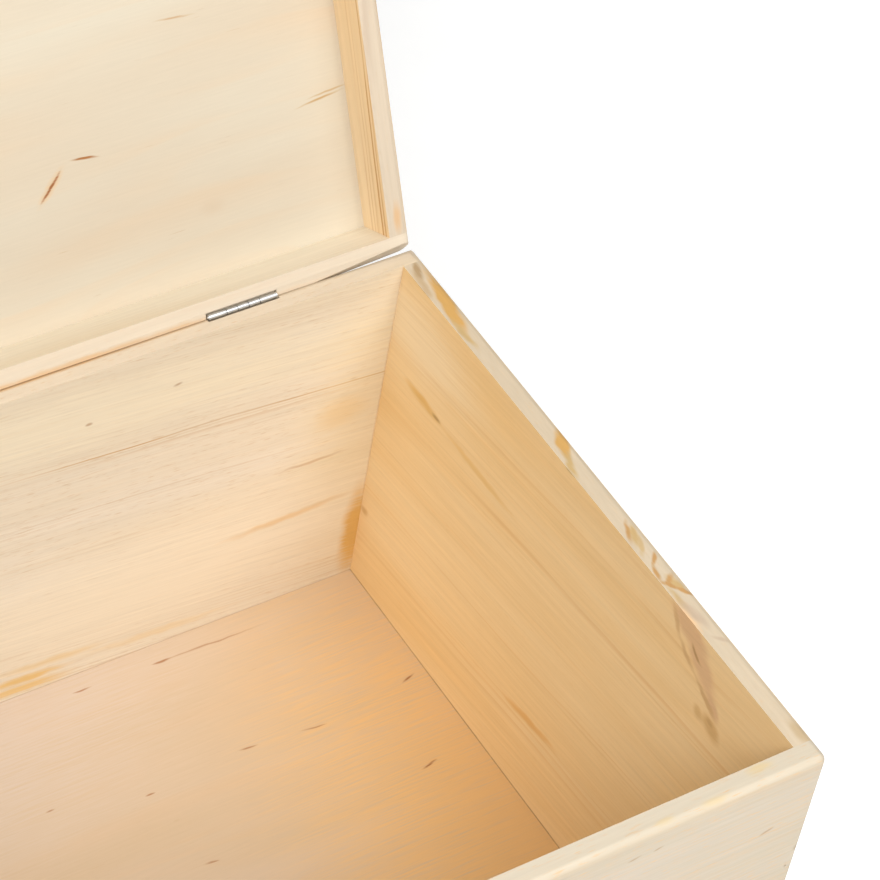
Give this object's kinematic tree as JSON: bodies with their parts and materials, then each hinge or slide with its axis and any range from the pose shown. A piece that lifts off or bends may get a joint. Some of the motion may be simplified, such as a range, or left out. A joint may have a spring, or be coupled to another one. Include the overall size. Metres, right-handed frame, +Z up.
{
  "type": "wooden box with a hinged lid",
  "caption": "Plain unfinished pine storage box with butted walls, a thin plywood floor and a shallow framed lid that stands open on small steel hinges.",
  "frame": {"origin": "middle of the underside of the floor panel, on what the box stands on", "axes": "+X along the front to the right wall, +Y from the front to the hinged rear, +Z up"},
  "size_m": [0.4036, 0.4594, 0.4644],
  "materials": {
    "pine": "planed and sanded pine boards, unfinished",
    "plywood": "sanded light plywood, unfinished",
    "zinc_plate": "zinc plated steel, satin",
    "brad_steel": "bright drawn wire"
  },
  "bodies": {
    "box": {"front_wall": "pine", "rear_wall": "pine", "right_wall": "pine", "left_wall": "pine", "floor_panel": "plywood", "right_hinge_box_leaf": "zinc_plate", "right_hinge_pin": "zinc_plate", "left_hinge_box_leaf": "zinc_plate", "left_hinge_pin": "zinc_plate", "front_corner_brads": "brad_steel", "rear_corner_brads": "brad_steel", "floor_brads": "brad_steel", "box_hinge_screws": "zinc_plate"},
    "lid": {"lid_front_rail": "pine", "lid_rear_rail": "pine", "lid_right_rail": "pine", "lid_left_rail": "pine", "lid_panel": "plywood", "right_hinge_lid_leaf": "zinc_plate", "left_hinge_lid_leaf": "zinc_plate", "lid_corner_brads": "brad_steel", "lid_panel_brads": "brad_steel", "lid_hinge_screws": "zinc_plate"}
  },
  "joints": [
    {"name": "lid_hinge", "type": "hinge", "parent": "box", "child": "lid", "pos_m": [0, 0.1494, 0.19815], "axis": [-1, 0, 0], "range_deg": [-117, 0]}
  ]
}
